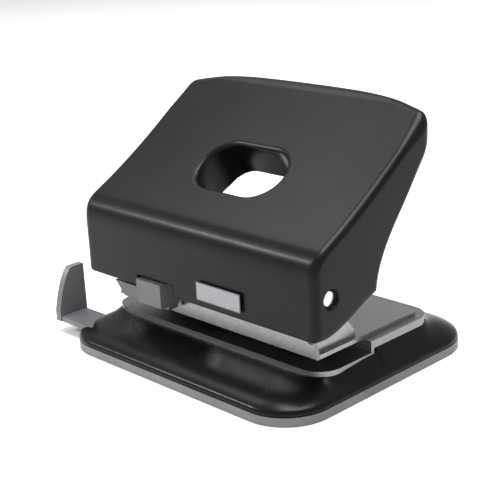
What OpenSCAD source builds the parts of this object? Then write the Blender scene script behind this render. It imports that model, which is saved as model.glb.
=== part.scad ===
// Two-hole desk punch: a pressed-steel punch unit on a plastic base, worked by a wide hinged handle.
// +X is to the right along the row of holes, +Y is away from the paper, +Z is up.
// The origin is on the table, under the middle of the steel die plate. The handle is drawn raised, at rest.

/* [Base] */
// Width of the base at its foot
base_w = 122; // [114:1:150]
// Distance of the base's front edge ahead of the origin
base_front = 58.5; // [56:0.5:72]
// Distance of the base's rear edge behind the origin
base_rear = 43; // [40:0.5:60]
// Corner radius of the base at its foot
base_r = 18; // [14:1:28]
// Height of the chip tray's rim, which is the foot of the whole punch
tray_rim_h = 3.2; // [2.4:0.1:5]
// Thickness of the tray's floor
tray_floor_t = 1.5; // [1:0.1:2.2]
// Thickness of the tray's locating wall
tray_wall_t = 1.4; // [1:0.1:2]
// Gap between the tray's rim and the base shell
tray_gap = 0.3; // [0.2:0.05:0.6]
// Wall of the base shell
shell_wall = 2.4; // [1.8:0.1:3.2]

/* [Die plate] */
// Width of the steel die plate
plate_w = 111; // [108:1:136]
// Distance of the die plate's front edge ahead of the origin
plate_front = 36.5; // [34:0.5:42]
// Distance of the die plate's rear edge behind the origin
plate_rear = 24; // [23:0.5:36]
// Corner radius of the die plate
plate_r = 9; // [5:0.5:14]
// Sheet thickness of the die plate
plate_t = 1.5; // [1:0.1:2]
// Thickness of the die plate's turned-down lip
lip_t = 1.2; // [0.8:0.1:2]
// Height of the turned-down lip, from the sheet's top
lip_h = 2.8; // [2:0.1:3.4]
// Height of the paper slot's floor above the table
slot_floor = 12; // [11:0.1:15]
// Height of the paper slot
slot_h = 4.2; // [4.2:0.1:5]
// Distance of the paper stop ahead of the origin
stop_y = 11.5; // [8:0.5:16]

/* [Punch unit] */
// Distance between the two punched holes
hole_pitch = 80; // [70:1:84]
// Distance from the paper's edge to the holes' centres
hole_margin = 12; // [10:0.5:14]
// Diameter of a punched hole
hole_d = 5.5; // [5:0.1:6.5]
// Width of the steel bracket
bracket_w = 104; // [102:1:107]
// Distance of the bracket's front edge ahead of the origin
bracket_front = 34.8; // [33:0.1:36]
// Distance of the bracket's rear edge behind the origin
bracket_rear = 19; // [18:0.5:24]
// Sheet thickness of the bracket
bracket_t = 1.5; // [1.2:0.1:2]
// Height of the bracket's turned-up front flange
flange_h = 5.5; // [4.5:0.1:6]
// Distance between the outer faces of the two ears
ear_span = 100; // [97:0.5:102]
// Sheet thickness of an ear
ear_t = 2; // [1.5:0.1:2.5]
// Radius of an ear round the axle
ear_r = 5; // [4.5:0.1:5.4]
// Height of the pin guides above the bracket's sheet
guide_neck_h = 5.5; // [4:0.5:6]
// Diameter of a pin guide's flange
guide_flange_d = 10; // [9:0.5:11]
// Wire thickness of a return spring
spring_wire = 1; // [0.8:0.1:1.1]
// Turns of a return spring
spring_turns = 5; // [4:0.5:6]
// Diameter of the cap on top of a punch pin
cap_d = 9.6; // [9:0.1:10.4]
// Thickness of the cap on top of a punch pin
cap_t = 2.5; // [2:0.1:3]

/* [Handle] */
// Height of the handle's axle above the table
pivot_z = 40; // [38:0.5:42]
// Distance of the punch pins behind the handle's axle
pin_arm = 12.5; // [12:0.1:13]
// Diameter of the axle
axle_d = 5; // [4:0.1:5.6]
// Width of the handle
handle_w = 120; // [117:1:134]
// Distance of the handle's front face ahead of the origin
handle_front = 44.2; // [44:0.1:46]
// Distance of the handle's rear end behind the origin
handle_rear = 25; // [20:0.5:30]
// Height of the handle's front lower edge above the table
handle_lip_z = 26.2; // [25.5:0.1:27]
// Slope of the handle's top at its front, in degrees
handle_slope = 28; // [26:0.5:30]
// Slope of the handle's top at its rear, in degrees
handle_end_slope = 41; // [37:0.5:45]
// Distance from the axle to the handle's top face
handle_top = 15.9; // [15:0.1:17]
// Wall of the handle's shell
handle_wall = 2.3; // [1.8:0.1:2.8]
// Radius between the handle's front face and its top
nose_r = 12; // [9:0.5:14]
// Radius of the handle's front corners, seen from above
front_r = 3.5; // [3:0.5:12]
// How far the handle's rear edge bows out between its sides, seen from above
rear_bow = 8.8; // [4:0.2:12]
// Radius of the handle's rear corners, seen from above
rear_r = 5; // [4:0.5:12]
// Length of the thumb hole across the handle
thumb_w = 39.6; // [34:0.2:46]
// Width of the thumb hole along the handle
thumb_l = 22.2; // [20:0.2:26]
// Wall of the collar round the thumb hole
collar_wall = 2; // [1.5:0.1:2.5]
// Depth of the collar below the handle's top
collar_h = 17.5; // [8:0.5:18]
// Thickness of the pressed-steel lever
lever_t = 1.5; // [1.2:0.1:2]

/* [Guide and lock] */
// Width of the paper guide's bar
guide_w = 12.4; // [10:0.1:13]
// Thickness of the paper guide's bar
guide_t = 2; // [1.6:0.1:2.2]
// Distance of the guide bar's rear edge ahead of the origin
guide_y = 38.4; // [37.5:0.1:39.4]
// Distance of the guide's fence to the left of the origin
fence_x = 70.5; // [68:0.5:90]
// Height of the fence's tip above the table
fence_h = 25.5; // [20:0.5:30]
// Thickness of the fence
fence_t = 3; // [2:0.1:4]
// Length of the guide's bar inside the fence
guide_len = 106; // [90:1:110]
// Width of the lock's thumb piece
lock_w = 13.4; // [10:0.1:14]
// Distance of the lock's thumb piece to the left of the origin
lock_x = 15.2; // [12:0.2:17]
// Sliding travel of the lock
lock_travel = 5; // [3:0.5:5.5]

/* [Fits] */
// Radial clearance of an axle or punch pin in its bore
run_gap = 0.05; // [0.02:0.01:0.1]
// Clearance between plain sliding or moving faces
slide_gap = 0.3; // [0.2:0.05:0.4]
// Gap between the lever's nose and a pin cap at rest
nose_gap = 0.4; // [0.36:0.02:0.6]

/* [Hidden] */
$fn = 48;
SMALL = 0.01;

// Levels and rows that everything else hangs from
raised_z = slot_floor + slot_h;
bracket_top = raised_z + bracket_t;
pin_y = -stop_y - hole_margin;
pivot_y = pin_y - pin_arm;
shell_z0 = tray_rim_h + tray_gap;
front_edge_z = slot_floor - lip_h;
rear_edge_z = raised_z - lip_h;

// Punch pins: the cap's top stays just under the lever's nose
nose_r_bead = 2.2;
nose_drop = 0.4;
cap_top = pivot_z - nose_drop - nose_r_bead - nose_gap;
pin_tip = raised_z + 0.3;
pin_r = hole_d / 2;
neck_r = pin_r + 0.6;
shoulder_d = hole_d - 1.5;
neck_foot = bracket_top + 1.5;
spring_r = neck_r + 0.2 + spring_wire / 2;

// Rivets and screws
rivet_x = 25;
rivet_rows = [-2, 13];
rivet_r = 1.75;
rivet_head_r = 3;
screw_x = 49;
screw_rows = [-4, 17];
screw_r = 1.5;
screw_head_r = 3;
boss_r = 3.6;
boss_foot = 6;

// Sheet-metal lever, in its own co-ordinates: s runs up it from the axle, n stands on it
lever_slope = (handle_slope + handle_end_slope) / 2;
web_n = 6;
web_s0 = 3;
web_s1 = 45;
thumb_y = pivot_y + 20;
lever_span = ear_span - 2 * ear_t - 1;
lever_bolts = [[34, 9], [34, 40]];
lever_bolt_r = 1.5;

// Paper guide and its channel in the base
bar_z = shell_z0 + 1.1;
strap_x = [-41, 12];
strap_w = 8;

// Lock slider on the bracket's front flange
lock_arm = [-47, -lock_x - 1];
lock_z = [raised_z + 3, raised_z + 8.3];
lock_rear = bracket_front + 1.3;
lock_front = handle_front - handle_wall - 1.4;
stud_w = 3;
stud_h = 1.4;
stud_x = [-44.5, -24];

// Rounded outline [half width, front distance, rear distance, corner radius], seen from above
module outline(o) {
    translate([-o[0], -o[1] + o[3]]) square([2 * o[0], o[1] + o[2] - 2 * o[3]]);
    translate([-o[0] + o[3], -o[1]]) square([2 * (o[0] - o[3]), o[1] + o[2]]);
    for (x = [-1, 1]) {
        translate([x * (o[0] - o[3]), -o[1] + o[3]]) circle(o[3]);
        translate([x * (o[0] - o[3]), o[2] - o[3]]) circle(o[3]);
    }
}

// The same outline shrunk by a wall
function inset(o, w) = [o[0] - w, o[1] - w, o[2] - w, max(o[3] - w, 1)];

module slab(o, z0, z1) {
    translate([0, 0, z0]) linear_extrude(z1 - z0) outline(o);
}

// Straight loft between two outlines
module loft(o0, z0, o1, z1) {
    hull() {
        slab(o0, z0, z0 + SMALL, $fn = 32);
        slab(o1, z1 - SMALL, z1, $fn = 32);
    }
}

// Profile drawn in (y, z) and extruded along X between x0 and x1
module along_x(x0, x1) {
    translate([x0, 0, 0]) rotate([90, 0, 90]) linear_extrude(x1 - x0) children();
}

// Cylinder along X through the point (y, z)
module rod(r, x0, x1, y, z) {
    translate([x0, y, z]) rotate([0, 90, 0]) cylinder(r = r, h = x1 - x0);
}

// Lever co-ordinates: origin on the axle, Y up the lever and Z square to its web
module on_lever() {
    translate([0, pivot_y, pivot_z]) rotate([lever_slope, 0, 0]) children();
}

module both_sides() {
    children();
    mirror([1, 0, 0]) children();
}

// Points along a curve with four control points, and along an arc
function bezier(p, t) = pow(1 - t, 3) * p[0] + 3 * t * pow(1 - t, 2) * p[1]
    + 3 * t * t * (1 - t) * p[2] + pow(t, 3) * p[3];
function curve(p, n) = [for (i = [0:n]) bezier(p, i / n)];
function arc(c, r, a0, a1, n) = [for (i = [0:n]) let (a = a0 + (a1 - a0) * i / n) c + r * [cos(a), sin(a)]];

/* ---- Base ---- */

foot = [base_w / 2, base_front, base_rear, base_r];
plate_edge = [plate_w / 2, plate_front, plate_rear, plate_r];
shoulder = [base_w / 2 - 1, base_front - 4, base_rear - 4, base_r - 2];
front_rim = inset(plate_edge, -0.9);
raised_rim = [front_rim[0], stop_y + plate_r, front_rim[2], plate_r + 0.9];
raised_foot = [base_w / 2 - 2, stop_y + plate_r, base_rear - 6, base_r - 6];
shoulder_z = shell_z0 + 4;

module skirt(w) {
    loft(inset(foot, w), shell_z0 - (w > 0 ? SMALL : 0), inset(shoulder, w), shoulder_z - w / 3);
    loft(inset(shoulder, w), shoulder_z - w / 3 - SMALL, inset(front_rim, w), front_edge_z - 0.1 - w * 0.7);
    intersection() {
        loft(inset(raised_foot, w), shoulder_z - SMALL, inset(raised_rim, w), rear_edge_z - 0.1 - w * 0.7);
        translate([-base_w, -stop_y + plate_t + 0.2 + w, 0]) cube([2 * base_w, base_w, pivot_z]);
    }
}

// Seat under the die plate's sheet, just inside its lip
module plate_seat() {
    seat = inset(plate_edge, lip_t + 0.4);
    opening = inset(seat, 4.8);
    difference() {
        union() {
            slab(seat, front_edge_z - 1.8, slot_floor - plate_t - 0.05);
            intersection() {
                slab(seat, front_edge_z - 1.8, raised_z - plate_t - 0.05);
                translate([-base_w / 2, -stop_y + plate_t + 0.4, 0]) cube([base_w, base_w, raised_z]);
            }
        }
        slab(opening, 0, raised_z);
    }
}

// Brackets that carry the paper guide's bar
module guide_strap() {
    y0 = -guide_y - guide_w - slide_gap;
    y1 = -guide_y + slide_gap;
    translate([0, y0 - 1, shell_z0]) {
        cube([strap_w, y1 - y0 + 2, bar_z - slide_gap - shell_z0]);
        cube([strap_w, 1, shoulder_z - shell_z0]);
        translate([0, y1 - y0 + 1, 0]) cube([strap_w, 1, front_edge_z - shell_z0]);
    }
}

module base_shell() {
    color("#1b191a") difference() {
        union() {
            difference() {
                skirt(0);
                skirt(shell_wall);
                slab(inset(plate_edge, lip_t + 5), shell_z0, raised_z);
            }
            plate_seat();
            for (y = screw_rows) both_sides()
                translate([screw_x, y, boss_foot])
                    cylinder(r = boss_r, h = raised_z - plate_t - 0.05 - boss_foot);
            for (x = strap_x) translate([x, 0, 0]) guide_strap();
        }
        for (y = screw_rows) both_sides()
            translate([screw_x, y, boss_foot - SMALL]) cylinder(r = screw_r + run_gap, h = raised_z);
        translate([-base_w / 2 - 1, -guide_y - guide_w - slide_gap, bar_z - slide_gap])
            cube([base_w / 2 - abs(strap_x[0]), guide_w + 2 * slide_gap, guide_t + 2 * slide_gap]);
    }
}

module chip_tray() {
    wall = inset(foot, shell_wall + 1.8);
    color("#8b8c8d") difference() {
        union() {
            slab(foot, 0, tray_rim_h);
            slab(wall, tray_rim_h - SMALL, bar_z - 0.5);
        }
        slab(inset(wall, tray_wall_t), tray_floor_t, bar_z);
    }
}

/* ---- Steel punch unit ---- */

module die_holes(r) {
    both_sides() translate([hole_pitch / 2, pin_y, -SMALL]) cylinder(r = r, h = pivot_z);
}

module base_plate() {
    step_y = -stop_y;
    color("#8f8e8c") difference() {
        union() {
            difference() {
                intersection() {
                    slab(plate_edge, front_edge_z, slot_floor);
                    translate([-base_w / 2, -base_w, 0]) cube([base_w, base_w + step_y + plate_t, raised_z]);
                }
                slab(inset(plate_edge, lip_t), 0, slot_floor - plate_t);
            }
            difference() {
                intersection() {
                    slab(plate_edge, front_edge_z, raised_z);
                    translate([-base_w / 2, step_y, 0]) cube([base_w, base_w, raised_z]);
                }
                difference() {
                    slab(inset(plate_edge, lip_t), 0, raised_z - plate_t);
                    translate([-base_w / 2, step_y, 0]) cube([base_w, plate_t, raised_z]);
                }
                translate([-base_w / 2, step_y + plate_t, 0]) cube([base_w, base_w, rear_edge_z]);
                translate([-plate_w / 2 + lip_t, step_y - 1, 0])
                    cube([plate_w - 2 * lip_t, plate_t + 2, slot_floor - plate_t]);
            }
        }
        die_holes(pin_r + run_gap);
        for (y = screw_rows) both_sides() translate([screw_x, y, 0]) cylinder(r = screw_r, h = raised_z + 1);
        for (y = rivet_rows) both_sides() translate([rivet_x, y, 0]) cylinder(r = rivet_r, h = raised_z + 1);
    }
}

// Side view of one ear, from the sheet up to the axle
module ear_profile() {
    foot_rear = [pin_y + 10, bracket_top - 1];
    foot_front = [-bracket_front + bracket_t, bracket_top - 1];
    translate([pivot_y, pivot_z]) circle(ear_r);
    polygon([foot_front, foot_rear, foot_rear + [0, 3],
        [pivot_y, pivot_z] + ear_r * [cos(38), sin(38)], [pivot_y, pivot_z] + ear_r * [cos(190), sin(190)]]);
}

// Front flange with raking ends and the slots that hold the lock slider
module front_flange() {
    half = bracket_w / 2;
    stud_slot_w = stud_w + lock_travel + 2 * slide_gap;
    difference() {
        translate([0, -bracket_front + bracket_t, 0]) rotate([90, 0, 0]) linear_extrude(bracket_t)
            polygon([[-half, raised_z], [half, raised_z], [half - 1.6, raised_z + flange_h],
                [-half + 1.6, raised_z + flange_h]]);
        for (x = stud_x)
            translate([x - slide_gap, -bracket_front - 1, lock_z[0] + 0.3 - slide_gap])
                cube([stud_slot_w, bracket_t + 2, stud_h + 2 * slide_gap]);
    }
}

module punch_bracket() {
    sheet = [bracket_w / 2, bracket_front, bracket_rear, 2.5];
    color("#a9a8a7") difference() {
        union() {
            intersection() {
                slab(sheet, raised_z, bracket_top);
                translate([-base_w / 2, -bracket_front + bracket_t, 0]) cube([base_w, base_w, pivot_z]);
            }
            front_flange();
            both_sides() along_x(ear_span / 2 - ear_t, ear_span / 2) ear_profile();
        }
        die_holes(neck_r);
        rod(axle_d / 2 + 0.02, -ear_span, ear_span, pivot_y, pivot_z);
        for (y = rivet_rows) both_sides() translate([rivet_x, y, 0]) cylinder(r = rivet_r, h = pivot_z);
    }
}

module rivets() {
    color("#b9b8b6") for (y = rivet_rows) both_sides() translate([rivet_x, y, 0]) {
        translate([0, 0, raised_z - plate_t - 1]) cylinder(r = rivet_head_r, h = 1);
        translate([0, 0, raised_z - plate_t - SMALL])
            cylinder(r = rivet_r, h = plate_t + bracket_t + 2 * SMALL);
        translate([0, 0, bracket_top]) cylinder(r = rivet_head_r, h = 1.1);
    }
}

module base_screws() {
    color("#c0bfbd") for (y = screw_rows) both_sides() translate([screw_x, y, 0]) difference() {
        union() {
            translate([0, 0, boss_foot - 2]) cylinder(r = screw_head_r, h = 2);
            translate([0, 0, boss_foot - SMALL]) cylinder(r = screw_r, h = raised_z - 0.2 - boss_foot);
        }
        for (a = [0, 90]) translate([0, 0, boss_foot - 2]) rotate(a) cube([3.4, 0.7, 2], center = true);
    }
}

// Flanged guide, riveted into the bracket, that steers one punch pin
module pin_guide(side) {
    color("#cfcecb") translate([side * hole_pitch / 2, pin_y, 0]) difference() {
        union() {
            translate([0, 0, raised_z]) cylinder(r = neck_r, h = bracket_top + guide_neck_h - raised_z);
            translate([0, 0, bracket_top]) cylinder(d = guide_flange_d, h = neck_foot - bracket_top);
        }
        translate([0, 0, raised_z - 1]) cylinder(r = pin_r + run_gap, h = pivot_z);
    }
}

// Punch pin with a V-shaped cutting end
module punch_pin(side) {
    v_depth = 0.9;
    color("#d9d8d6") translate([side * hole_pitch / 2, pin_y, 0]) difference() {
        union() {
            translate([0, 0, pin_tip]) cylinder(r = pin_r, h = cap_top - cap_t - pin_tip);
            translate([0, 0, cap_top - cap_t - SMALL]) cylinder(d = shoulder_d, h = cap_t - 0.5);
        }
        translate([0, 0, pin_tip]) rotate([90, 0, 0]) linear_extrude(hole_d + 2, center = true)
            polygon([[-pin_r - 0.01, -0.01], [pin_r + 0.01, -0.01], [0, v_depth]]);
    }
}

// Cap pressed on the pin: the lever pushes on it and the spring lifts it
module pin_cap(side) {
    color("#c6a64b") translate([side * hole_pitch / 2, pin_y, 0]) difference() {
        translate([0, 0, cap_top - cap_t]) cylinder(d = cap_d, h = cap_t);
        translate([0, 0, cap_top - cap_t - SMALL]) cylinder(d = shoulder_d, h = cap_t - 0.5 + SMALL);
    }
}

// Coil spring swept along a helix
spring_low = neck_foot + spring_wire / 2 + 0.03;
spring_high = cap_top - cap_t - spring_wire / 2 - 0.03;
spring_steps = 12;
spring_sides = 6;
function spring_centre(i) = let (a = 360 * i / spring_steps)
    [spring_r * cos(a), spring_r * sin(a),
        spring_low + (spring_high - spring_low) * i / (spring_steps * spring_turns)];
function spring_ring(i) = let (a = 360 * i / spring_steps, c = spring_centre(i))
    [for (k = [0:spring_sides - 1]) let (b = 360 * k / spring_sides)
        c + spring_wire / 2 * [cos(b) * cos(a), cos(b) * sin(a), sin(b)]];

module return_spring(side) {
    last = spring_steps * spring_turns;
    points = [for (i = [0:last]) each spring_ring(i)];
    walls = [for (i = [0:last - 1], k = [0:spring_sides - 1]) let (j = (k + 1) % spring_sides)
        [i * spring_sides + k, (i + 1) * spring_sides + k, (i + 1) * spring_sides + j, i * spring_sides + j]];
    ends = [[for (k = [0:spring_sides - 1]) k],
        [for (k = [spring_sides - 1:-1:0]) last * spring_sides + k]];
    color("#b5b4b2") translate([side * hole_pitch / 2, pin_y, 0])
        polyhedron(points = points, faces = concat(walls, ends), convexity = 6);
}

module pivot_axle() {
    end_x = handle_w / 2 - 1.4;
    color("#dcdbd8") rod(axle_d / 2, -end_x, end_x, pivot_y, pivot_z);
}

// Snap rings that hold the axle between the ears
module axle_clips() {
    clip_t = 1.1;
    clip_x = ear_span / 2 + 0.1;
    color("#b9b8b6") both_sides() difference() {
        rod(4.2, clip_x, clip_x + clip_t, pivot_y, pivot_z);
        rod(axle_d / 2, clip_x - 1, clip_x + 2, pivot_y, pivot_z);
        translate([clip_x - 1, pivot_y - 5, pivot_z - 0.9]) cube([clip_t + 2, 5, 1.8]);
    }
}

/* ---- Handle ---- */

// Height and slope of the handle's top, which curves up towards the rear
function rise(y) = (tan(handle_end_slope) - tan(handle_slope)) * (y - pivot_y) / (handle_rear - pivot_y);
function top_z(y) = pivot_z + handle_top / cos(handle_slope)
    + (y - pivot_y) * (tan(handle_slope) + rise(y) / 2);
function top_slope(y) = atan(tan(handle_slope) + rise(y));

// Side view of the handle: front face, rounded nose, sweeping top, rear lip and the cut-away underside
module handle_profile(w) {
    front = -handle_front + w;
    rear = handle_rear - w;
    drop = w / cos(lever_slope);
    r = nose_r - w;
    c = [front + r, top_z(front + r) - drop - r / cos(handle_slope)];
    tip_r = 5 - w / 2;
    tip = [rear - tip_r, top_z(rear - tip_r) - drop - tip_r / cos(handle_end_slope)];
    sweep = [for (i = [0:12]) let (y = c[0] + (tip[0] - 4 - c[0]) * i / 12) [y, top_z(y) - drop]];
    lip_low = top_z(handle_rear) - 17;
    under_rear = curve([[handle_rear - 3, lip_low], [pivot_y + 38, pivot_z + 21],
        [pivot_y + 25.5, pivot_z + 10], [pivot_y + 24, pivot_z - 4]], 10);
    under_front = curve([[pivot_y + 23.4, pivot_z - 4.7], [pivot_y + 16, pivot_z - 6.5],
        [pivot_y + 7, handle_lip_z + 0.8], [pivot_y - 1.5, handle_lip_z]], 8);
    polygon(concat(arc(c, r, 180, 90 + handle_slope, 10), sweep, arc(tip, tip_r, 90 + handle_end_slope, 0, 6),
        w > 0 ? [[rear, handle_lip_z - 2], [front, handle_lip_z - 2]]
            : concat([[rear, lip_low + 5], [rear - 1, lip_low + 2]], under_rear, under_front,
                [[front, handle_lip_z]])));
}

// Plan of the handle, with a bowed rear edge
function rear_edge(x) = handle_rear - rear_bow * pow(2 * x / handle_w, 2);

module handle_plan(w) {
    half = handle_w / 2 - w;
    front = -handle_front + w;
    r = front_r - w;
    corner_x = handle_w / 2 - rear_r;
    corner = [corner_x, rear_edge(corner_x) - rear_r];
    bow = concat(arc(corner, rear_r - w, 0, 75, 6),
        [for (i = [1:8]) let (x = corner_x * (1 - i / 8)) [x, rear_edge(x) - w]]);
    polygon(concat(arc([half - r, front + r], r, -90, 0, 8), bow,
        [for (i = [len(bow) - 2:-1:0]) [-bow[i][0], bow[i][1]]],
        arc([-half + r, front + r], r, 180, 270, 8)));
}

// Solid body of the handle, shrunk by w for its hollow
module handle_body(w) {
    intersection() {
        along_x(-handle_w / 2 + w, handle_w / 2 - w) handle_profile(w);
        linear_extrude(140) handle_plan(w);
    }
}

module thumb_oval(grow) {
    r = thumb_l / 2 + grow;
    run = (thumb_w - thumb_l) / 2;
    translate([-run, -r]) square([2 * run, 2 * r]);
    for (x = [-run, run]) translate([x, 0]) circle(r);
}

module on_thumb_hole() {
    translate([0, thumb_y, top_z(thumb_y)]) rotate([top_slope(thumb_y), 0, 0]) children();
}

module handle_cover() {
    hub_r = axle_d / 2 + 3;
    notch_x0 = -lock_x - lock_w - 0.8;
    notch_x1 = -lock_x + lock_travel + 0.6;
    color("#1d1a1b") difference() {
        union() {
            difference() {
                handle_body(0);
                handle_body(handle_wall);
            }
            intersection() {
                handle_body(0);
                on_thumb_hole() translate([0, 0, -collar_h])
                    linear_extrude(collar_h + 2) thumb_oval(collar_wall);
            }
            both_sides() rod(hub_r, ear_span / 2 + 1.6, handle_w / 2 - 1, pivot_y, pivot_z);
            intersection() {
                handle_body(handle_wall / 2);
                both_sides() for (b = lever_bolts)
                    on_lever() translate([b[0], b[1], web_n + lever_t]) cylinder(r = 3, h = 20);
            }
        }
        on_thumb_hole() translate([0, 0, -collar_h - 2]) linear_extrude(collar_h + 10) thumb_oval(0);
        rod(axle_d / 2 + run_gap, -handle_w, handle_w, pivot_y, pivot_z);
        both_sides() rod(axle_d / 2 + 0.9, handle_w / 2 - 1.3, handle_w / 2 + 1, pivot_y, pivot_z);
        both_sides() for (b = lever_bolts)
            on_lever() translate([b[0], b[1], web_n]) cylinder(r = lever_bolt_r, h = 6);
        translate([notch_x0, -handle_front - 1, 0])
            cube([notch_x1 - notch_x0, handle_wall + 2, handle_lip_z + 4.6]);
    }
}

// Side view of a lever arm, in handle co-ordinates
module lever_arm_profile() {
    nose = [pin_arm * cos(lever_slope) - nose_drop * sin(lever_slope),
        -pin_arm * sin(lever_slope) - nose_drop * cos(lever_slope)];
    polygon(concat([[web_s0 + 1, web_n + lever_t / 2], [web_s1 - 0.5, web_n + lever_t / 2],
        [web_s1 - 0.5, web_n - 2],
        [nose[0] + 9, nose[1] + 4], [nose[0] + 1.5, nose[1] - 0.5]], arc([0, 0], 5, 255, 130, 8)));
}

module lever_plate() {
    half = lever_span / 2;
    flange_z = pivot_z + (web_n + (pin_arm + 1) * sin(lever_slope)) / cos(lever_slope) + 0.2;
    color("#9c9b99") difference() {
        union() {
            both_sides() translate([half - lever_t, 0, 0]) on_lever()
                rotate([90, 0, 90]) linear_extrude(lever_t) lever_arm_profile();
            on_lever() translate([-half, web_s0, web_n]) cube([2 * half, web_s1 - web_s0, lever_t]);
            rod(nose_r_bead, -half + lever_t / 2, half - lever_t / 2, pin_y, pivot_z - nose_drop);
            translate([-half + lever_t / 3, pin_y - 1, pivot_z - nose_drop])
                cube([2 * (half - lever_t / 3), 2, flange_z - pivot_z + nose_drop]);
        }
        on_thumb_hole() translate([0, 0, -30]) linear_extrude(40) thumb_oval(collar_wall + 1.2);
        rod(axle_d / 2 + run_gap, -half - 1, half + 1, pivot_y, pivot_z);
        both_sides() for (b = lever_bolts)
            on_lever() translate([b[0], b[1], 0]) cylinder(r = lever_bolt_r, h = 20);
    }
}

module cover_screws() {
    color("#b9b8b6") both_sides() for (b = lever_bolts) on_lever() translate([b[0], b[1], 0]) difference() {
        union() {
            translate([0, 0, web_n - 1.8]) cylinder(r = 2.8, h = 1.8);
            translate([0, 0, web_n - SMALL]) cylinder(r = lever_bolt_r, h = 5.4);
        }
        for (a = [0, 90]) translate([0, 0, web_n - 1.8]) rotate(a) cube([3.2, 0.7, 1.8], center = true);
    }
}

module blank_label() {
    label = [22, 0.35, 6.8];
    color("#b8b8ba") translate([4.2, -handle_front - label[1], handle_lip_z + 3.3]) cube(label);
}

/* ---- Paper guide and lock ---- */

module paper_guide() {
    y0 = -guide_y - guide_w;
    tip_w = 5;
    bow = curve([[y0 - 0.4, bar_z + 4], [y0 + 1.2, bar_z + 12], [y0 + 4.5, fence_h],
        [-guide_y - tip_w, fence_h]], 10);
    color("#9b9a9f") {
        translate([-fence_x, y0, bar_z]) cube([guide_len, guide_w, guide_t]);
        along_x(-fence_x - fence_t, -fence_x) polygon(concat([[y0 - 0.4, bar_z]], bow,
            [[-guide_y + 0.3, fence_h], [-guide_y + 0.3, bar_z]]));
    }
}

module lock_slider() {
    rake = 5;
    color("#6f6e70") {
        translate([0, -lock_rear, 0]) rotate([90, 0, 0]) linear_extrude(lock_front - lock_rear)
            polygon([[lock_arm[0] + rake, lock_z[0]], [lock_arm[1], lock_z[0]], [lock_arm[1], lock_z[1]],
                [lock_arm[0], lock_z[1]]]);
        translate([-lock_x - lock_w, -handle_front - 0.8, lock_z[0] + 2])
            cube([lock_w, handle_front + 0.8 - lock_rear, handle_lip_z + 4 - lock_z[0] - 2]);
        for (x = stud_x) translate([x, -lock_rear - 1, lock_z[0] + 0.3])
            cube([stud_w, lock_rear - bracket_front + bracket_t + 2, stud_h]);
    }
}

base_shell();
chip_tray();
base_plate();
punch_bracket();
rivets();
base_screws();
pin_guide(-1);  // pin_guide_left
pin_guide(1);  // pin_guide_right
punch_pin(-1);  // punch_pin_left
punch_pin(1);  // punch_pin_right
pin_cap(-1);  // pin_cap_left
pin_cap(1);  // pin_cap_right
return_spring(-1);  // return_spring_left
return_spring(1);  // return_spring_right
pivot_axle();
axle_clips();
lever_plate();
handle_cover();
cover_screws();
blank_label();
paper_guide();
lock_slider();
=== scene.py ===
"""Two-hole desk punch: the visual model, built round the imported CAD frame.

Outlines and heights below are in millimetres, in the frame's own axes: +X right along the row of
holes, +Y away from the paper, +Z up. Meshes are written in metres.
"""
import math

import bmesh
import bpy
import numpy as np
from mathutils import Matrix, Vector


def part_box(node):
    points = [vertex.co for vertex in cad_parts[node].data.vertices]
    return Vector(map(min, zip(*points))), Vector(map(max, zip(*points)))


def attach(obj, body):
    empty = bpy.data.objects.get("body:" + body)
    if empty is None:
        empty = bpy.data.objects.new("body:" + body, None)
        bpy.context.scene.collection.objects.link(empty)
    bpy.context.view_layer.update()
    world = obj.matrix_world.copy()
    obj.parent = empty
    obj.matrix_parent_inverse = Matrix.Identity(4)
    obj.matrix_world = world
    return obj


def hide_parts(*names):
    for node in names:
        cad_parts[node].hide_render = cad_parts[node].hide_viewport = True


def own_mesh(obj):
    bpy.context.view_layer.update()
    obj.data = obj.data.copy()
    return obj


MM = 0.001
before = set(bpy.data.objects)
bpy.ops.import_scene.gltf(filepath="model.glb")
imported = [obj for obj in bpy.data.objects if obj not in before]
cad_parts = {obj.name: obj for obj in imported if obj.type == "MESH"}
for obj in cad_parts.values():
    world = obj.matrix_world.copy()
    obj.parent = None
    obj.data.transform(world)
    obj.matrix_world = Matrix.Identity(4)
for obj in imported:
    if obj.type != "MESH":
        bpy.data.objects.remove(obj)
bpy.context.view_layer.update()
CELL = 0.7   # grid of the moulded shells' meshes
MARGIN = 1.5                        # room round a field's shape in its grid


def box_mm(node):
    """Lowest and highest corner of a CAD node, in millimetres."""
    low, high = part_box(node)
    return np.array(low) / MM, np.array(high) / MM


# ---------------------------------------------------------------- distance fields

def round_max(a, b, r):
    """Intersection of two fields with its edge rounded to radius r."""
    u = np.maximum(a + r, 0)
    v = np.maximum(b + r, 0)
    return np.minimum(-r, np.maximum(a, b)) + np.sqrt(u * u + v * v)


def round_min(a, b, r):
    """Union of two fields with a fillet of radius r between them."""
    u = np.maximum(r - a, 0)
    v = np.maximum(r - b, 0)
    return np.maximum(r, np.minimum(a, b)) - np.sqrt(u * u + v * v)


def smooth_step(a, b, v):
    t = np.clip((v - a) / (b - a), 0, 1)
    return t * t * (3 - 2 * t)


def block(low, high, x, y, z):
    """Box between two corners."""
    dx = np.maximum(low[0] - x, x - high[0])
    dy = np.maximum(low[1] - y, y - high[1])
    dz = np.maximum(low[2] - z, z - high[2])
    return np.maximum(np.maximum(dx, dy), dz)


def stadium(u, v, width, length):
    """Oval with straight sides, width across u and length along v."""
    r = length / 2
    du = np.maximum(np.abs(u) - (width / 2 - r), 0)
    return np.sqrt(du * du + v * v) - r


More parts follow.
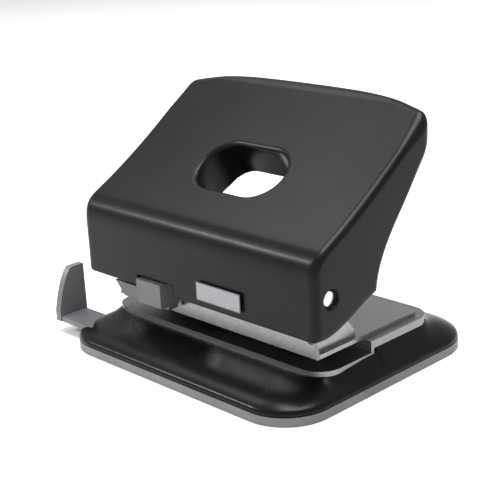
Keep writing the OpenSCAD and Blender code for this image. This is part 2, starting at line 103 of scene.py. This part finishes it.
def rounded_plan(outline, x, y):
    """Rounded rectangle [half width, front, rear, corner radius], seen from above."""
    half, front, rear, r = outline
    dx = np.abs(x) - (half - r)
    dy = np.abs(y - (rear - front) / 2) - ((rear + front) / 2 - r)
    outside = np.sqrt(np.maximum(dx, 0) ** 2 + np.maximum(dy, 0) ** 2)
    return outside + np.minimum(np.maximum(dx, dy), 0) - r


def inset(outline, wall):
    half, front, rear, r = outline
    return half - wall, front - wall, rear - wall, max(r - wall, 1.0)


def polygon_distance(points, u, v):
    """Signed distance to a closed polygon, negative inside."""
    nearest = np.full(np.broadcast(u, v).shape, 1e9)
    inside = np.zeros(nearest.shape, bool)
    for (au, av), (bu, bv) in zip(points, points[1:] + points[:1]):
        eu, ev = bu - au, bv - av
        wu, wv = u - au, v - av
        t = np.clip((wu * eu + wv * ev) / (eu * eu + ev * ev + 1e-12), 0, 1)
        nearest = np.minimum(nearest, (wu - eu * t) ** 2 + (wv - ev * t) ** 2)
        if ev != 0:
            inside ^= ((av > v) != (bv > v)) & (wu < eu * wv / ev)
    return np.where(inside, -1, 1) * np.sqrt(nearest)


def outline_field(points, step=0.3, margin=9.0):
    """Field of a polygon, looked up in a fine grid with linear steps between."""
    low = np.min(points, axis=0) - margin
    high = np.max(points, axis=0) + margin
    us = np.arange(low[0], high[0] + step, step)
    vs = np.arange(low[1], high[1] + step, step)
    table = polygon_distance(points, us[:, None], vs[None, :])

    def field(u, v):
        iu = np.clip((u - low[0]) / step, 0, len(us) - 1.001)
        iv = np.clip((v - low[1]) / step, 0, len(vs) - 1.001)
        i, j = iu.astype(int), iv.astype(int)
        fu, fv = iu - i, iv - j
        near = table[i, j] * (1 - fv) + table[i, j + 1] * fv
        far = table[i + 1, j] * (1 - fv) + table[i + 1, j + 1] * fv
        return near * (1 - fu) + far * fu

    return field


# ---------------------------------------------------------------- meshes

def gradient(field, p, h=0.05):
    """Unit normal of a field at points p, and the size of its slope there."""
    slope = np.stack([field(*(p + h * e).T) - field(*(p - h * e).T) for e in np.eye(3)], 1) / (2 * h)
    size = np.linalg.norm(slope, axis=1, keepdims=True) + 1e-9
    return slope / size, size


def settle(field, points, cell):
    """Moves points onto a field's zero surface."""
    for _ in range(3):
        normal, size = gradient(field, points)
        step = field(*points.T)[:, None] / size
        points = points - normal * np.clip(step, -cell / 2, cell / 2)
    return points


def neighbour_mean(points, quads):
    """Mean of each point's neighbours along the quads' edges."""
    total = np.zeros_like(points)
    count = np.zeros(len(points))
    for k in range(4):
        here, there = quads[:, k], quads[:, (k + 1) % 4]
        for a, b in ((here, there), (there, here)):
            np.add.at(total, a, points[b])
            np.add.at(count, a, 1)
    return total / np.maximum(count, 1)[:, None]


def surface_net(field, low, high, cell):
    """Vertices and quads of a field's zero surface, one vertex for each cell that it crosses."""
    axes = [np.arange(a, b + cell, cell) for a, b in zip(low, high)]
    value = field(axes[0][:, None, None], axes[1][None, :, None], axes[2][None, None, :])
    value = np.broadcast_to(value, [len(a) for a in axes]).astype(np.float32)
    inside = value < 0
    cells = np.array(value.shape) - 1
    total = np.zeros((*cells, 3), np.float32)
    count = np.zeros(cells, np.float32)
    crossings = []
    for axis in range(3):
        near = [slice(None)] * 3
        far = [slice(None)] * 3
        near[axis], far[axis] = slice(0, -1), slice(1, None)
        near, far = tuple(near), tuple(far)
        cross = inside[near] != inside[far]
        with np.errstate(all="ignore"):
            where = np.where(cross, value[near] / (value[near] - value[far]), 0)
        crossings.append(cross)
        side = [k for k in range(3) if k != axis]
        for d0 in (0, 1):
            for d1 in (0, 1):
                part = [slice(None)] * 3
                part[side[0]] = slice(d0, d0 + cells[side[0]])
                part[side[1]] = slice(d1, d1 + cells[side[1]])
                hit = cross[tuple(part)]
                total[..., axis] += where[tuple(part)]
                total[..., side[0]] += hit * d0
                total[..., side[1]] += hit * d1
                count += hit
    active = count > 0
    number = np.full(cells, -1)
    number[active] = np.arange(active.sum())
    points = np.argwhere(active) + total[active] / count[active][:, None]
    points = points * cell + np.array(low)
    quads = []
    for axis in range(3):
        side = [(axis + 1) % 3, (axis + 2) % 3]
        edge = np.argwhere(crossings[axis])
        keep = np.all([(edge[:, s] > 0) & (edge[:, s] < cells[s]) for s in side], axis=0)
        edge = edge[keep]
        corners = []
        for d0, d1 in ((1, 1), (0, 1), (0, 0), (1, 0)):
            c = edge.copy()
            c[:, side[0]] -= d0
            c[:, side[1]] -= d1
            corners.append(number[tuple(c.T)])
        quad = np.stack(corners, 1)
        starts_inside = inside[tuple(edge.T)]
        quad[~starts_inside] = quad[~starts_inside][:, ::-1]
        quads.append(quad)
    quads = np.concatenate(quads)
    points = settle(field, points, cell)
    for _ in range(3):
        points = settle(field, (points + neighbour_mean(points, quads)) / 2, cell)
    return points, quads


def new_piece(name, mesh, material, body):
    """Adds a mesh to the scene as a piece that rides on a body."""
    mesh.materials.append(material)
    piece = bpy.data.objects.new(name, mesh)
    bpy.context.scene.collection.objects.link(piece)
    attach(piece, body)
    return piece


def moulded_piece(name, field, low, high, cell, material, body):
    """Smooth moulded shell: the zero surface of a field, shaded with the field's own normals."""
    points, quads = surface_net(field, low, high, cell)
    mesh = bpy.data.meshes.new(name)
    mesh.from_pydata((points * MM).tolist(), [], quads.tolist())
    mesh.update()
    mesh.polygons.foreach_set("use_smooth", np.ones(len(mesh.polygons), bool))
    normal, _ = gradient(field, points, 0.12)
    mesh.normals_split_custom_set_from_vertices(normal.tolist())
    return new_piece(name, mesh, material, body)


# ---------------------------------------------------------------- materials

def shader(name):
    """New material, its node tree and its Principled shader."""
    material = bpy.data.materials.new(name)
    material.use_nodes = True
    tree = material.node_tree
    return material, tree, tree.nodes["Principled BSDF"]


def noise(tree, scale, detail=4.0, stretch=(1, 1, 1)):
    """Noise in object space: scale is in features a metre, stretch squeezes it along each axis."""
    place = tree.nodes.new("ShaderNodeTexCoord")
    mapping = tree.nodes.new("ShaderNodeMapping")
    mapping.inputs["Scale"].default_value = stretch
    texture = tree.nodes.new("ShaderNodeTexNoise")
    texture.inputs["Scale"].default_value = scale
    texture.inputs["Detail"].default_value = detail
    tree.links.new(place.outputs["Object"], mapping.inputs["Vector"])
    tree.links.new(mapping.outputs["Vector"], texture.inputs["Vector"])
    return texture.outputs["Fac"]


def spread(tree, source, low, high):
    """Noise values from the middle of its range, spread over low to high."""
    span = tree.nodes.new("ShaderNodeMapRange")
    span.inputs["From Min"].default_value = 0.3
    span.inputs["From Max"].default_value = 0.7
    span.inputs["To Min"].default_value = low
    span.inputs["To Max"].default_value = high
    tree.links.new(source, span.inputs["Value"])
    return span.outputs["Result"]


def tint(tree, source, dark, light):
    """Colours from dark to light along the noise."""
    ramp = tree.nodes.new("ShaderNodeValToRGB")
    ramp.color_ramp.elements[0].position = 0.3
    ramp.color_ramp.elements[1].position = 0.7
    ramp.color_ramp.elements[0].color = (*dark, 1)
    ramp.color_ramp.elements[1].color = (*light, 1)
    tree.links.new(source, ramp.inputs["Fac"])
    return ramp.outputs["Color"]


def bump(tree, bsdf, height, strength, depth):
    """Fine relief, depth in millimetres."""
    relief = tree.nodes.new("ShaderNodeBump")
    relief.inputs["Strength"].default_value = strength
    relief.inputs["Distance"].default_value = depth * MM
    tree.links.new(height, relief.inputs["Height"])
    tree.links.new(relief.outputs["Normal"], bsdf.inputs["Normal"])


def plastic(name, dark, light, rough, grain=2600, relief=0.02, level=0.5):
    """Moulded plastic: cloudy colour, a fine spark-eroded grain and uneven gloss."""
    material, tree, bsdf = shader(name)
    tree.links.new(tint(tree, noise(tree, 60, 6), dark, light), bsdf.inputs["Base Color"])
    tree.links.new(spread(tree, noise(tree, 900, 3), *rough), bsdf.inputs["Roughness"])
    bsdf.inputs["Specular IOR Level"].default_value = level
    bump(tree, bsdf, noise(tree, grain, 3), 0.5, relief)
    return material


def brushed_metal(name, dark, light, rough, stretch=(1, 12, 12), scale=500, relief=0.006):
    """Metal with the long fine lines of rolling or turning, and slightly uneven gloss."""
    material, tree, bsdf = shader(name)
    bsdf.inputs["Metallic"].default_value = 1.0
    lines = noise(tree, scale, 6, stretch)
    tree.links.new(tint(tree, lines, dark, light), bsdf.inputs["Base Color"])
    tree.links.new(spread(tree, noise(tree, 220, 5), *rough), bsdf.inputs["Roughness"])
    bump(tree, bsdf, lines, 0.35, relief)
    return material


def label_film(name, size_low, size_high):
    """Blank silver label: brushed film inside a thin darker border."""
    material, tree, bsdf = shader(name)
    place = tree.nodes.new("ShaderNodeTexCoord")
    split = tree.nodes.new("ShaderNodeSeparateXYZ")
    tree.links.new(place.outputs["Object"], split.inputs["Vector"])
    border = None
    for axis, index in (("X", 0), ("Z", 2)):
        middle = (size_low[index] + size_high[index]) / 2 * MM
        half = (size_high[index] - size_low[index]) / 2 * MM
        off = tree.nodes.new("ShaderNodeMath")
        off.operation = "SUBTRACT"
        off.inputs[1].default_value = middle
        tree.links.new(split.outputs[axis], off.inputs[0])
        side = tree.nodes.new("ShaderNodeMath")
        side.operation = "ABSOLUTE"
        tree.links.new(off.outputs[0], side.inputs[0])
        edge = tree.nodes.new("ShaderNodeMath")
        edge.operation = "GREATER_THAN"
        edge.inputs[1].default_value = half - 0.35 * MM
        tree.links.new(side.outputs[0], edge.inputs[0])
        if border is None:
            border = edge.outputs[0]
            continue
        both = tree.nodes.new("ShaderNodeMath")
        both.operation = "MAXIMUM"
        tree.links.new(border, both.inputs[0])
        tree.links.new(edge.outputs[0], both.inputs[1])
        border = both.outputs[0]
    film = tint(tree, noise(tree, 900, 4, (1, 1, 14)), (0.20, 0.20, 0.21), (0.34, 0.34, 0.35))
    mix = tree.nodes.new("ShaderNodeMix")
    mix.data_type = "RGBA"
    tree.links.new(border, mix.inputs["Factor"])
    tree.links.new(film, mix.inputs["A"])
    mix.inputs["B"].default_value = (0.10, 0.10, 0.105, 1)
    tree.links.new(mix.outputs["Result"], bsdf.inputs["Base Color"])
    tree.links.new(spread(tree, noise(tree, 300, 4), 0.35, 0.5), bsdf.inputs["Roughness"])
    bsdf.inputs["Metallic"].default_value = 0.6
    return material


BLACK = plastic("handle_black", (0.0034, 0.0028, 0.003), (0.006, 0.005, 0.0053), (0.31, 0.36),
                relief=0.006, level=0.15)
SKIRT = plastic("base_black", (0.003, 0.0026, 0.0028), (0.0052, 0.0045, 0.0048), (0.27, 0.31),
                relief=0.003, level=0.15)
TRAY = plastic("tray_grey", (0.12, 0.12, 0.122), (0.165, 0.165, 0.168), (0.45, 0.6), 2000, 0.03)
GUIDE = plastic("guide_grey", (0.10, 0.10, 0.108), (0.145, 0.144, 0.153), (0.35, 0.5), 2200, 0.02)
LOCK = plastic("lock_grey", (0.075, 0.073, 0.075), (0.11, 0.107, 0.11), (0.34, 0.46), 2200, 0.02)
DIE_STEEL = brushed_metal("die_steel_fine", (0.20, 0.195, 0.195), (0.30, 0.29, 0.29), (0.28, 0.4))
BRACKET_STEEL = brushed_metal("bracket_steel_fine", (0.24, 0.23, 0.24), (0.35, 0.34, 0.35), (0.24, 0.34))
LEVER_STEEL = brushed_metal("lever_steel_fine", (0.26, 0.26, 0.26), (0.40, 0.39, 0.39), (0.36, 0.5))
BRIGHT_STEEL = brushed_metal("bright_steel", (0.50, 0.50, 0.49), (0.68, 0.67, 0.66), (0.18, 0.3), (10, 1, 1))
TURNED_STEEL = brushed_metal("turned_steel", (0.52, 0.51, 0.50), (0.70, 0.69, 0.68), (0.2, 0.32), (1, 1, 14))
ZINC = brushed_metal("zinc_plate", (0.42, 0.42, 0.43), (0.58, 0.58, 0.58), (0.26, 0.4), (2, 2, 2), 800)
WIRE = brushed_metal("spring_wire", (0.30, 0.30, 0.30), (0.44, 0.44, 0.43), (0.25, 0.36), (1, 1, 20), 700)
BRASS = brushed_metal("cap_brass_turned", (0.55, 0.38, 0.13), (0.72, 0.52, 0.20), (0.2, 0.34), (1, 1, 12))
LABEL = label_film("blank_label_film", *box_mm("blank_label"))


# ---------------------------------------------------------------- handle

PIVOT = (sum(b[1] for b in box_mm("pivot_axle")) / 2, sum(b[2] for b in box_mm("pivot_axle")) / 2)
HANDLE_LOW, HANDLE_HIGH = box_mm("handle_cover")
HALF_W = HANDLE_HIGH[0]
FRONT = -HANDLE_LOW[1]
REAR = HANDLE_HIGH[1]
LIP_Z = HANDLE_LOW[2]
WALL = 2.3          # wall of the handle's shell
TOP = 15.9          # from the axle to the handle's top face
SLOPE = 28          # slope of the handle's top at its front, degrees
END_SLOPE = 41      # and at its rear
NOSE_R = 12         # between the front face and the top
CORNER_R = 3.5      # front corners, seen from above
BOW = 8.8           # how far the rear edge bows out between the sides
REAR_R = 5          # rear corners, seen from above
EDGE_R = 2.6        # long edges between the top and the sides
REAR_EDGE_R = 4.6   # the same edges where they roll round the rear corners
THUMB = (39.6, 22.2)
THUMB_Y = PIVOT[0] + 20
COLLAR_WALL = 2.0
COLLAR_H = 17.5
THUMB_EDGE_R = 1.7
INNER_R = 1.2       # fillet between the shell's inner faces
RIM_R = 0.5         # lower edge of the shell
FILLET = 0.8        # where hubs and posts meet the shell
HUB_R = 5.5         # hubs that carry the axle
HUB_INNER_X = 51.6
HUB_SINK = 1.6      # hubs and posts stop inside the wall
BORE_R = 2.65
RECESS = (3.4, 1.3)  # radius and depth of the recess round each axle end
POST_R = 3          # posts for the cover screws, in rows up the lever's web
POST_X = 34
POST_ROWS = (9, 40)
WEB_TOP = 7.5       # the web's upper face, from the axle
LOCK_W = 13.4       # the lock's thumb piece, and the room round it in its notch
NOTCH_LEFT, NOTCH_RIGHT, NOTCH_H = 0.8, 5.6, 4.6


def rise(y):
    steeper = math.tan(math.radians(END_SLOPE)) - math.tan(math.radians(SLOPE))
    return steeper * (y - PIVOT[0]) / (REAR - PIVOT[0])


def top_z(y):
    """Height of the handle's top, which curves up towards the rear."""
    start = math.radians(SLOPE)
    return PIVOT[1] + TOP / math.cos(start) + (y - PIVOT[0]) * (math.tan(start) + rise(y) / 2)


def arc(centre, r, a0, a1, n):
    angles = [math.radians(a0 + (a1 - a0) * i / n) for i in range(n + 1)]
    return [(centre[0] + r * math.cos(a), centre[1] + r * math.sin(a)) for a in angles]


def bezier(p, n):
    points = []
    for i in range(n + 1):
        t = i / n
        weights = ((1 - t) ** 3, 3 * t * (1 - t) ** 2, 3 * t * t * (1 - t), t ** 3)
        points.append(tuple(sum(w * q[k] for w, q in zip(weights, p)) for k in (0, 1)))
    return points


def handle_profile(w):
    """Side view (y, z): front face, round nose, sweeping top, rear lip and cut-away underside."""
    front, rear = -FRONT + w, REAR - w
    drop = w / math.cos(math.radians((SLOPE + END_SLOPE) / 2))
    r = NOSE_R - w
    nose = (front + r, top_z(front + r) - drop - r / math.cos(math.radians(SLOPE)))
    tip_r = 5 - w / 2
    tip = (rear - tip_r, top_z(rear - tip_r) - drop - tip_r / math.cos(math.radians(END_SLOPE)))
    run = tip[0] - 4 - nose[0]
    sweep = [(nose[0] + run * i / 24, top_z(nose[0] + run * i / 24) - drop) for i in range(25)]
    points = arc(nose, r, 180, 90 + SLOPE, 16) + sweep + arc(tip, tip_r, 90 + END_SLOPE, 0, 10)
    if w > 0:
        return points + [(rear, LIP_Z - 2), (front, LIP_Z - 2)]
    py, pz = PIVOT
    lip_low = top_z(REAR) - 17
    points += [(rear, lip_low + 5), (rear - 1, lip_low + 2)]
    under_rear = [(REAR - 3, lip_low), (py + 38, pz + 21), (py + 25.5, pz + 10), (py + 24, pz - 4)]
    under_front = [(py + 23.4, pz - 4.7), (py + 16, pz - 6.5), (py + 7, LIP_Z + 0.8), (py - 1.5, LIP_Z)]
    points += bezier(under_rear, 24) + bezier(under_front, 16)
    return points + [(front, LIP_Z)]


def rear_edge(x):
    return REAR - BOW * (x / HALF_W) ** 2


def handle_plan(w):
    """Outline seen from above (x, y), with a bowed rear edge."""
    half, front, r = HALF_W - w, -FRONT + w, CORNER_R - w
    corner_x = HALF_W - REAR_R
    bow = arc((corner_x, rear_edge(corner_x) - REAR_R), REAR_R - w, 0, 75, 10)
    bow += [(corner_x * (1 - i / 16), rear_edge(corner_x * (1 - i / 16)) - w) for i in range(1, 17)]
    left = [(-x, y) for x, y in reversed(bow[:-1])]
    right_front = arc((half - r, front + r), r, -90, 0, 12)
    left_front = arc((-half + r, front + r), r, 180, 270, 12)
    return right_front + bow + left + left_front


def make_handle():
    """Hollow moulded handle with its thumb hole, collar, hubs, screw posts and lock notch."""
    profile_out, profile_in = outline_field(handle_profile(0)), outline_field(handle_profile(WALL))
    plan_out, plan_in = outline_field(handle_plan(0)), outline_field(handle_plan(WALL))
    tilt = math.atan(math.tan(math.radians(SLOPE)) + rise(THUMB_Y))
    web = math.radians((SLOPE + END_SLOPE) / 2)
    lock_right = box_mm("lock_slider")[1][0]
    notch_low = (lock_right - LOCK_W - NOTCH_LEFT, -FRONT - 2, 0)
    notch_high = (lock_right + NOTCH_RIGHT, -FRONT + WALL + 0.5, LIP_Z + NOTCH_H)

    def field(x, y, z):
        edge_r = EDGE_R + (REAR_EDGE_R - EDGE_R) * smooth_step(0, 16, y)
        outer = round_max(profile_out(y, z), plan_out(x, y), edge_r)
        inner = round_max(profile_in(y, z), plan_in(x, y), INNER_R)
        shell = round_max(outer, -inner, RIM_R)
        v = (y - THUMB_Y) * math.cos(tilt) + (z - top_z(THUMB_Y)) * math.sin(tilt)
        n = -(y - THUMB_Y) * math.sin(tilt) + (z - top_z(THUMB_Y)) * math.cos(tilt)
        oval = stadium(x, v, *THUMB)
        collar = np.maximum(oval - COLLAR_WALL, -(n + COLLAR_H))
        shell = round_min(shell, np.maximum(collar, outer + 1.2), 1.0)
        radius = np.sqrt((y - PIVOT[0]) ** 2 + (z - PIVOT[1]) ** 2)
        side = np.abs(x)
        hub = np.maximum(radius - HUB_R, np.maximum(HUB_INNER_X - side, side - (HALF_W - HUB_SINK)))
        shell = round_min(shell, hub, FILLET)
        s = (y - PIVOT[0]) * math.cos(web) + (z - PIVOT[1]) * math.sin(web)
        up = -(y - PIVOT[0]) * math.sin(web) + (z - PIVOT[1]) * math.cos(web)
        for s0 in POST_ROWS:
            post = np.sqrt((side - POST_X) ** 2 + (s - s0) ** 2) - POST_R
            post = np.maximum(np.maximum(post, WEB_TOP - up), outer + WALL / 2)
            shell = round_min(shell, post, FILLET)
        shell = round_max(shell, -oval, THUMB_EDGE_R)
        shell = round_max(shell, BORE_R - radius, 0.3)
        recess = np.maximum(radius - RECESS[0], HALF_W - RECESS[1] - side)
        shell = round_max(shell, -recess, 0.4)
        return round_max(shell, -block(notch_low, notch_high, x, y, z), 0.6)

    piece = moulded_piece("handle_shell", field, HANDLE_LOW - MARGIN, HANDLE_HIGH + MARGIN, CELL,
                          BLACK, "handle")
    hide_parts("handle_cover")


# ---------------------------------------------------------------- base

FOOT_LOW, FOOT_HIGH = box_mm("chip_tray")
FOOT = (FOOT_HIGH[0], -FOOT_LOW[1], FOOT_HIGH[1], 18)
PLATE_LOW, PLATE_HIGH = box_mm("base_plate")
PLATE = (PLATE_HIGH[0], -PLATE_LOW[1], PLATE_HIGH[1], 9)
SHELL_Z0 = box_mm("base_shell")[0][2]
SHELL_WALL = 2.4
FRONT_RIM = 10.2    # the skirt's rim against the die plate's lip, at the front
SIDE_RIM = 11.8     # at the sides, where the paper slot ends
REAR_RIM = 13.6     # and behind the step
SHOULDER = 7.9
STEP_Y = -9.8       # the skirt steps up just behind the paper stop
EDGE_RUN = 11       # how far in the convex foot of the skirt runs
SEAT = inset(PLATE, 1.6)
SEAT_W = 4.8        # width of the ledge under the die plate's sheet
SEAT_FOOT = 7.4
LOW_SEAT, HIGH_SEAT = 10.45, 14.65   # the ledge's top ahead of the step and behind it
OPENING = 6.2       # the shell's opening for the chips, inside the plate's edge
SCREW_X = 49
SCREW_ROWS = (-4, 17)
BOSS_R, BOSS_BORE, BOSS_FOOT = 3.6, 1.55, 6
STRAPS = (-41, 12)  # straps that carry the guide's bar, each 8 wide and 1 thick
STRAP_W = 8
STRAP_T = 1
BAR_ROOM = (4.3, 6.9)  # the channel through the skirt's left side, from floor to roof


def skirt_top(x, y):
    """Height of the skirt: a convex shoulder at the foot and a hollow sweep up to the plate."""
    out = np.maximum(-rounded_plan(FOOT, x, y), 0)
    rim = np.maximum(rounded_plan(inset(PLATE, -0.35), x, y), 0)
    t = out / (out + rim + 1e-6)
    raised = smooth_step(STEP_Y - 0.6, STEP_Y + 2, y)
    side_climb = smooth_step(-PLATE[1], STEP_Y - 2, y)
    rim_z = FRONT_RIM + (SIDE_RIM - FRONT_RIM) * side_climb + (REAR_RIM - SIDE_RIM) * raised
    edge = np.clip(out / EDGE_RUN, 0, 1)
    foot_z = SHELL_Z0 + 1.2
    shoulder = foot_z + (SHOULDER - foot_z) * (1 - (1 - edge) ** 2.4) ** 0.75
    return shoulder + (rim_z - SHOULDER) * t ** (2.6 - 1.2 * side_climb)


def make_skirt():
    """Hollow base shell with the seat for the die plate, screw bosses and guide straps."""
    bar_front, bar_rear = box_mm("paper_guide")[0][1] + 0.1, -38.1

    def field(x, y, z):
        foot = rounded_plan(FOOT, x, y)
        top = skirt_top(x, y)
        above = (z - top) * 0.85
        outer = round_max(round_max(foot, above, 0.8), SHELL_Z0 - z, 0.5)
        hollow = np.maximum(foot + SHELL_WALL, above + SHELL_WALL)
        shell = np.maximum(outer, -hollow)
        shell = np.maximum(shell, -rounded_plan(inset(PLATE, OPENING), x, y))
        low_seat = np.maximum(z - LOW_SEAT, SEAT_FOOT - z)
        high_seat = np.maximum(np.maximum(z - HIGH_SEAT, SEAT_FOOT - z), STEP_Y + 0.3 - y)
        ring = np.maximum(rounded_plan(SEAT, x, y), -rounded_plan(inset(SEAT, SEAT_W), x, y))
        shell = np.minimum(shell, round_max(ring, np.minimum(low_seat, high_seat), 0.4))
        for row in SCREW_ROWS:
            radius = np.sqrt((np.abs(x) - SCREW_X) ** 2 + (y - row) ** 2)
            boss = round_max(radius - BOSS_R, np.maximum(BOSS_FOOT - z, z - HIGH_SEAT), 0.3)
            shell = np.maximum(np.minimum(shell, boss), BOSS_BORE - radius)
        for x0 in STRAPS:
            x1, y0, y1 = x0 + STRAP_W, bar_front - STRAP_T, bar_rear + STRAP_T
            floor = block((x0, y0, SHELL_Z0), (x1, y1, BAR_ROOM[0]), x, y, z)
            front = block((x0, y0, SHELL_Z0), (x1, bar_front, 7.5), x, y, z)
            rear = block((x0, bar_rear, SHELL_Z0), (x1, y1, 9.2), x, y, z)
            shell = np.minimum(shell, np.minimum(floor, np.minimum(front, rear)))
        left_end = STRAPS[0] - STRAP_T
        channel = block((-70, bar_front, BAR_ROOM[0]), (left_end, bar_rear, BAR_ROOM[1]), x, y, z)
        return round_max(shell, -channel, 0.4)

    low = np.array([-FOOT[0], -FOOT[1], SHELL_Z0]) - MARGIN
    high = np.array([FOOT[0] + MARGIN, FOOT[2] + MARGIN, 16])
    piece = moulded_piece("base_skirt", field, low, high, CELL, SKIRT, "base")
    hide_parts("base_shell")


# ---------------------------------------------------------------- springs

WIRE_R = 0.5
TURNS = 6
END_TURN = 0.75      # part of a turn that lies flat at each end
END_RISE = 0.9       # how much such an end turn still climbs, for each turn


def make_spring(side):
    """Coil spring with closed, flattened end turns."""
    name = "left" if side < 0 else "right"
    low, high = box_mm(f"return_spring_{name}")
    coil_r = (high[0] - low[0]) / 2 - WIRE_R
    centre = (low + high) / 2
    per_turn, sides = 36, 12
    bottom, top = low[2] + WIRE_R, high[2] - WIRE_R
    free = top - bottom - 2 * END_RISE * END_TURN
    bm = bmesh.new()
    rings = []
    for i in range(TURNS * per_turn + 1):
        turn = i / per_turn
        climb = min(max((turn - END_TURN) / (TURNS - 2 * END_TURN), 0), 1)
        ends = min(turn, END_TURN) + max(turn - TURNS + END_TURN, 0)
        z = bottom + free * climb + END_RISE * ends
        a = 2 * math.pi * turn
        out = Vector((math.cos(a), math.sin(a), 0))
        spine = Vector((centre[0], centre[1], z)) + out * coil_r
        ring = []
        for k in range(sides):
            b = 2 * math.pi * k / sides
            around = out * math.cos(b) + Vector((0, 0, math.sin(b)))
            ring.append(bm.verts.new((spine + WIRE_R * around) * MM))
        rings.append(ring)
    for a, b in zip(rings, rings[1:]):
        for k in range(sides):
            j = (k + 1) % sides
            bm.faces.new((a[k], b[k], b[j], a[j]))
    bm.faces.new(rings[0])
    bm.faces.new(list(reversed(rings[-1])))
    bmesh.ops.recalc_face_normals(bm, faces=bm.faces)
    for face in bm.faces:
        face.smooth = True
    mesh = bpy.data.meshes.new(f"coil_spring_{name}")
    bm.to_mesh(mesh)
    bm.free()
    piece = new_piece(f"coil_spring_{name}", mesh, WIRE, "base")
    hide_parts(f"return_spring_{name}")
    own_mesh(piece)


# ---------------------------------------------------------------- steel parts and small parts

def finish_node(name, material, bevel):
    """CAD node kept as it is, with broken edges and its own material."""
    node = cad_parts[name]
    for place in node.material_slots:
        place.material = material
    edges = node.modifiers.new("broken_edges", "BEVEL")
    edges.width = bevel * MM
    edges.segments = 2
    edges.limit_method = "ANGLE"
    edges.angle_limit = math.radians(35)
    edges.harden_normals = True


def finish_nodes():
    finish_node("chip_tray", TRAY, 0.5)
    finish_node("base_plate", DIE_STEEL, 0.5)
    finish_node("punch_bracket", BRACKET_STEEL, 0.25)
    finish_node("lever_plate", LEVER_STEEL, 0.2)
    finish_node("rivets", ZINC, 0.35)
    finish_node("base_screws", ZINC, 0.15)
    finish_node("cover_screws", ZINC, 0.15)
    finish_node("axle_clips", ZINC, 0.15)
    finish_node("pivot_axle", BRIGHT_STEEL, 0.5)
    finish_node("paper_guide", GUIDE, 0.45)
    finish_node("lock_slider", LOCK, 0.4)
    finish_node("blank_label", LABEL, 0.1)
    for name in ("left", "right"):
        finish_node(f"pin_guide_{name}", TURNED_STEEL, 0.2)
        finish_node(f"punch_pin_{name}", TURNED_STEEL, 0.05)
        finish_node(f"pin_cap_{name}", BRASS, 0.35)


# ---------------------------------------------------------------- studio

def make_floor():
    """Pale plain floor, large enough to fill the view."""
    bm = bmesh.new()
    bmesh.ops.create_grid(bm, x_segments=4, y_segments=4, size=6.0)
    mesh = bpy.data.meshes.new("floor")
    bm.to_mesh(mesh)
    bm.free()
    material, tree, bsdf = shader("floor_pale")
    pale = tint(tree, noise(tree, 3, 2), (0.83, 0.83, 0.83), (0.86, 0.86, 0.86))
    tree.links.new(pale, bsdf.inputs["Base Color"])
    bsdf.inputs["Roughness"].default_value = 0.9
    bsdf.inputs["Specular IOR Level"].default_value = 0.1
    mesh.materials.append(material)
    floor = bpy.data.objects.new("floor", mesh)
    floor.location.z = -0.05 * MM
    bpy.context.scene.collection.objects.link(floor)


def area_light(name, place, aim, size, power):
    """Soft rectangular light at place, turned towards aim; both in metres."""
    lamp = bpy.data.lights.new(name, "AREA")
    lamp.shape = "RECTANGLE"
    lamp.size, lamp.size_y = size
    lamp.energy = power
    light = bpy.data.objects.new(name, lamp)
    light.location = place
    light.rotation_euler = (Vector(aim) - Vector(place)).to_track_quat("-Z", "Y").to_euler()
    bpy.context.scene.collection.objects.link(light)


def make_lights():
    world = bpy.data.worlds.new("studio")
    world.use_nodes = True
    world.node_tree.nodes["Background"].inputs["Color"].default_value = (1, 1, 1, 1)
    world.node_tree.nodes["Background"].inputs["Strength"].default_value = 0.6
    bpy.context.scene.world = world
    bpy.context.scene.view_settings.view_transform = "Standard"
    target = (0, 0, 0.05)
    area_light("overhead", (0.10, 0.10, 1.1), target, (0.7, 0.6), 18)
    area_light("left_high", (-0.75, 0.15, 1.05), target, (0.4, 0.35), 2.2)
    area_light("left_front", (-0.62, -0.58, 0.52), target, (0.2, 0.16), 5)


def make_camera():
    """Camera at the viewing angle that the object was studied from."""
    azimuth, elevation, roll = (math.radians(a) for a in (46.29, 18.35, -2.91))
    back = Vector((math.sin(azimuth) * math.cos(elevation), -math.cos(azimuth) * math.cos(elevation),
                   math.sin(elevation)))
    right = Vector((math.cos(azimuth), math.sin(azimuth), 0))
    up = back.cross(right)
    x_axis = right * math.cos(roll) + up * math.sin(roll)
    y_axis = up * math.cos(roll) - right * math.sin(roll)
    lens = bpy.data.cameras.new("camera")
    lens.sensor_width = 36
    lens.lens = 85.86
    lens.clip_start = 0.01
    camera = bpy.data.objects.new("camera", lens)
    place = (Vector((0, 0, 40)) + 445.81 * back - 9.54 * x_axis - 4.76 * y_axis) * MM
    camera.matrix_world = Matrix.Translation(place) @ Matrix((x_axis, y_axis, back)).transposed().to_4x4()
    bpy.context.scene.collection.objects.link(camera)
    bpy.context.scene.camera = camera


make_camera()
make_lights()
make_floor()
finish_nodes()
make_handle()
make_skirt()
for side in (-1, 1):
    make_spring(side)
